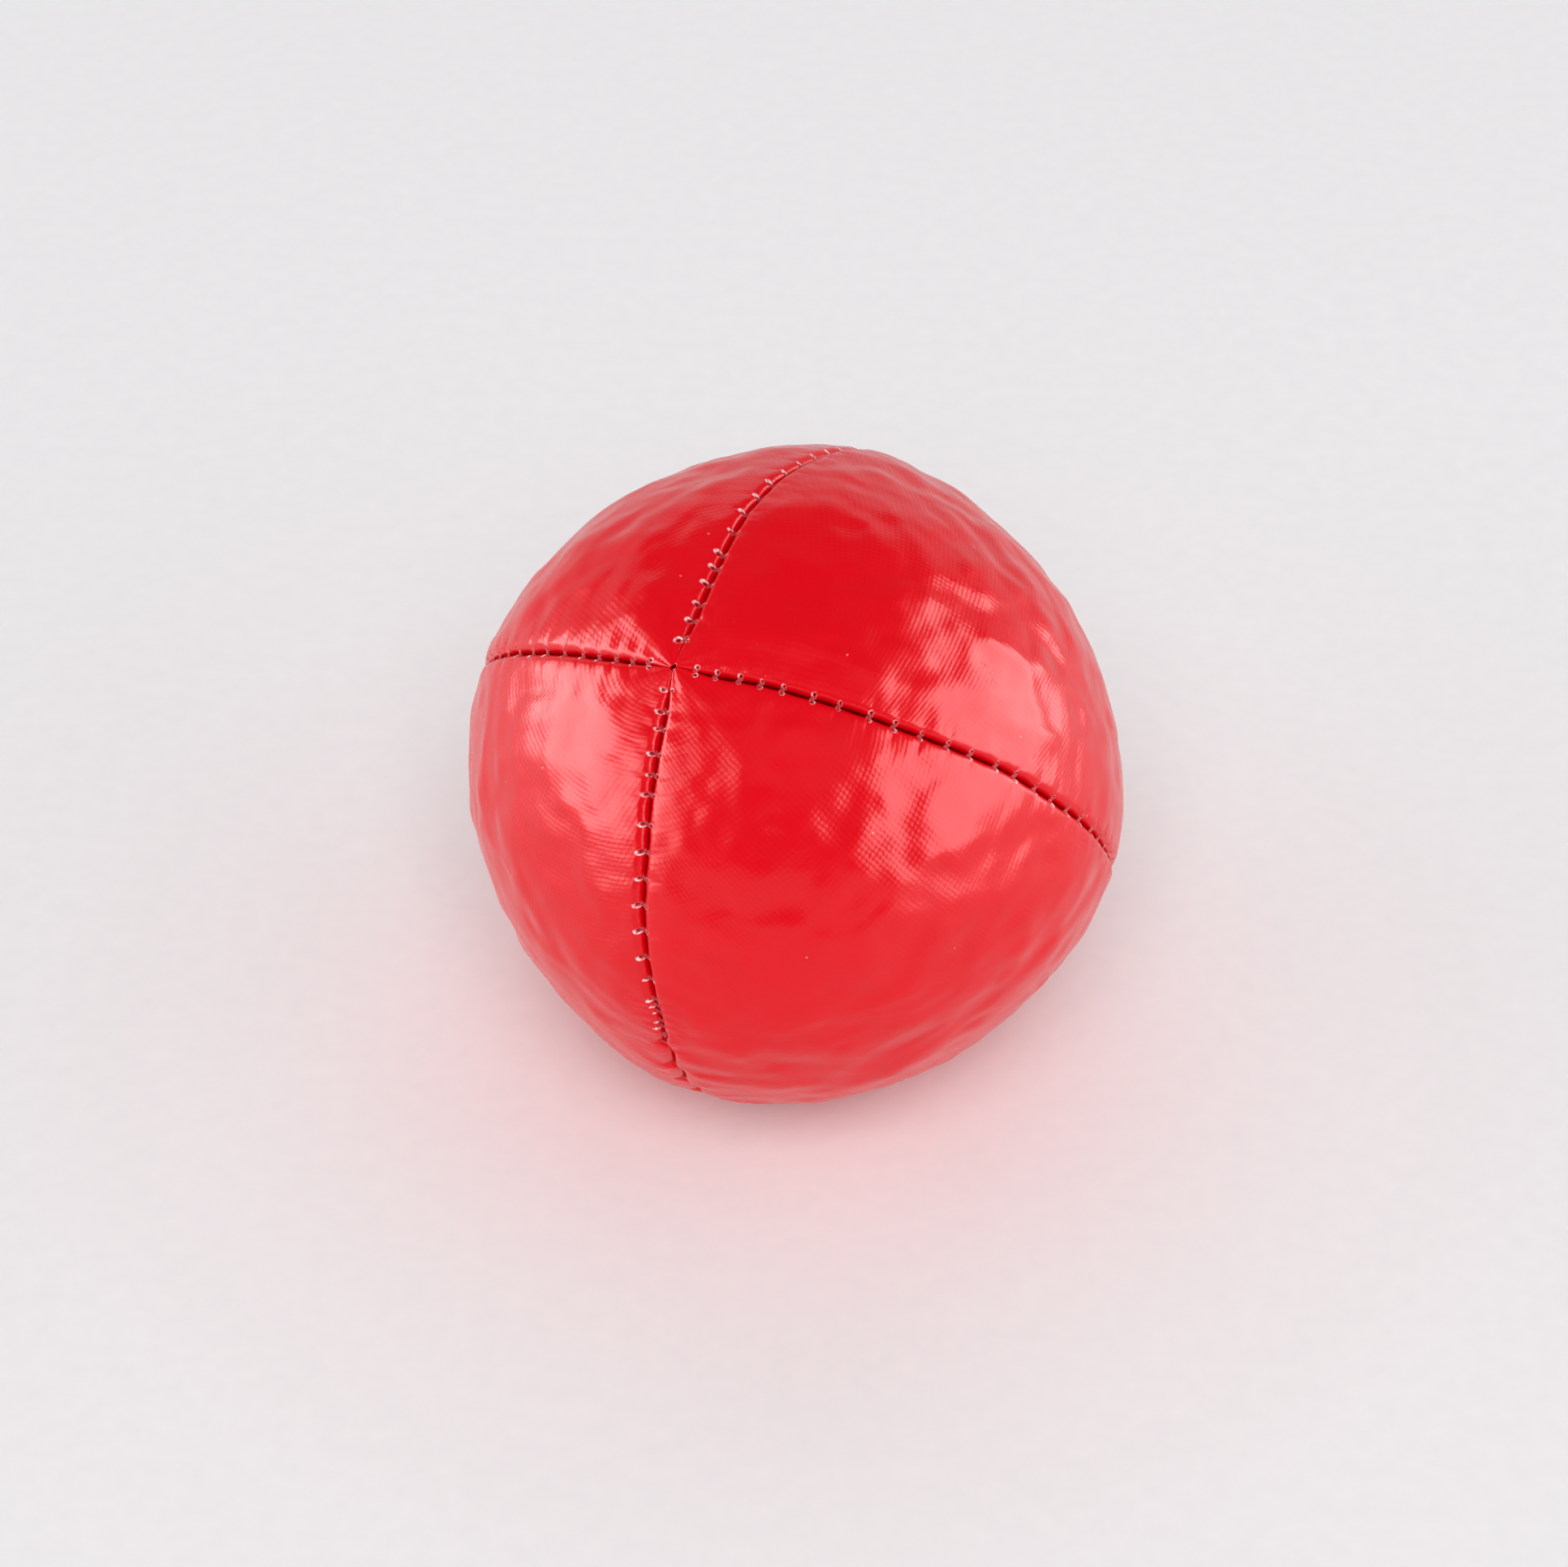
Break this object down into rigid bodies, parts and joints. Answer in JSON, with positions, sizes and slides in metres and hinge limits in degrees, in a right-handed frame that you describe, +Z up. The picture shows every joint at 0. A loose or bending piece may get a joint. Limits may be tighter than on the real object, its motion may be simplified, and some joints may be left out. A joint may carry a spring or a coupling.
{
  "type": "juggling ball",
  "caption": "Soft seed-filled juggling ball of sewn pointed panels in glossy red coated cloth, resting on a flat patch, for toss juggling.",
  "frame": {"origin": "middle of the flat resting patch under the ball, at floor height", "axes": "+Z up as the ball rests; +X to the right and +Y away from a viewer in front; the upper pole, where the seams meet, leans towards the viewer and to the left"},
  "size_m": [0.0658, 0.0654, 0.0642],
  "materials": {
    "coated_cloth": "glossy soft PVC coating on woven cloth",
    "thread": "matt polyester sewing thread",
    "seed": "small round dry seed, drawn as one solid"
  },
  "bodies": {
    "root": {"panel_front": "coated_cloth", "panel_right": "coated_cloth", "panel_back": "coated_cloth", "panel_left": "coated_cloth", "right_seam_needle_thread": "thread", "right_seam_bobbin_thread": "thread", "left_seam_needle_thread": "thread", "left_seam_bobbin_thread": "thread", "main_seam_needle_thread": "thread", "main_seam_bobbin_thread": "thread", "closing_thread": "thread", "seed_filling": "seed"}
  },
  "joints": []
}
